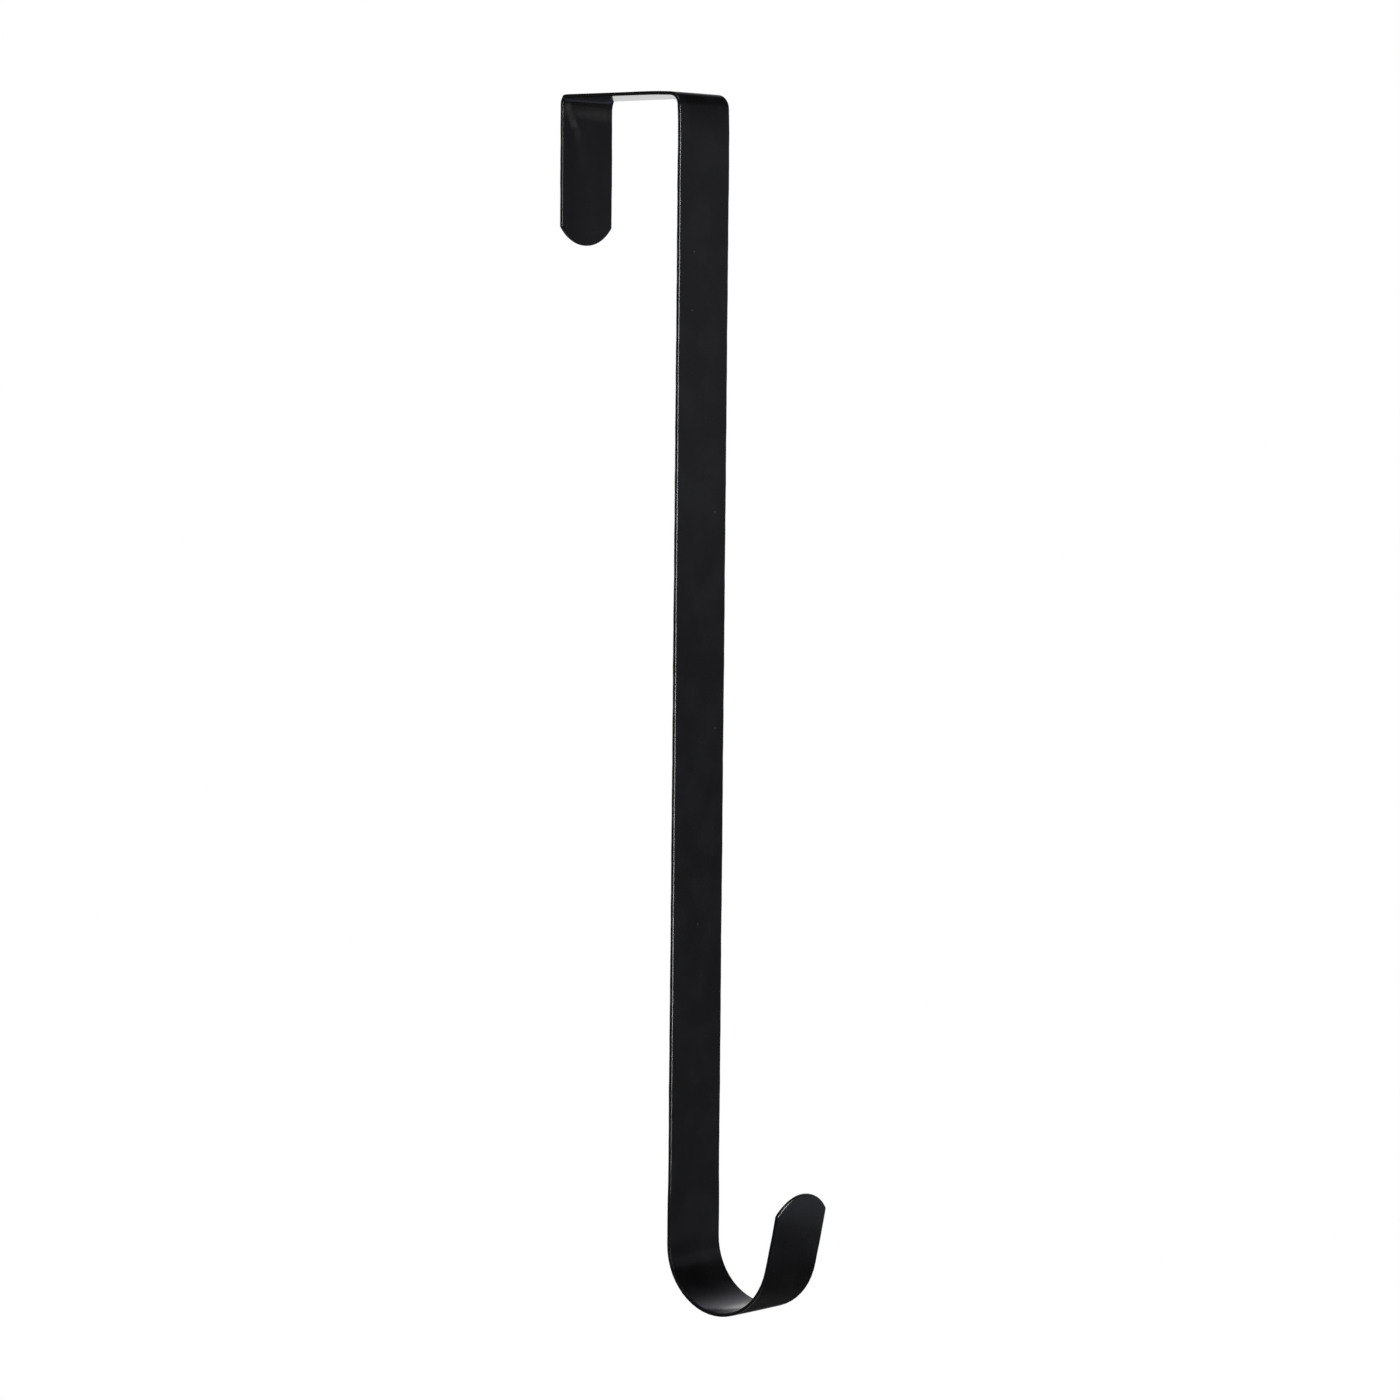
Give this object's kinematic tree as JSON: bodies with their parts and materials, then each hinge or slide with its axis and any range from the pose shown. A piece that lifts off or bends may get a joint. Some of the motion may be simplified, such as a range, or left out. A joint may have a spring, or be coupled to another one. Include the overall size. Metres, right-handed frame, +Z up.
{
  "type": "wreath hanger",
  "caption": "Flat steel strip bent to hang over the top of a door, with a long strap and an upturned hook at its foot that carries a wreath.",
  "frame": {"origin": "middle of the bridge's underside, where the hanger rests on the door's top edge", "axes": "+Z up, away from the door's top edge; -Y towards the side the wreath hangs on, so the strap and hook are at -Y and the short tab is at +Y; X across the strip"},
  "size_m": [0.0244, 0.0935, 0.3809],
  "materials": {
    "black_coat": "satin"
  },
  "bodies": {
    "root": {"hanger_strip": "black_coat"}
  },
  "joints": []
}
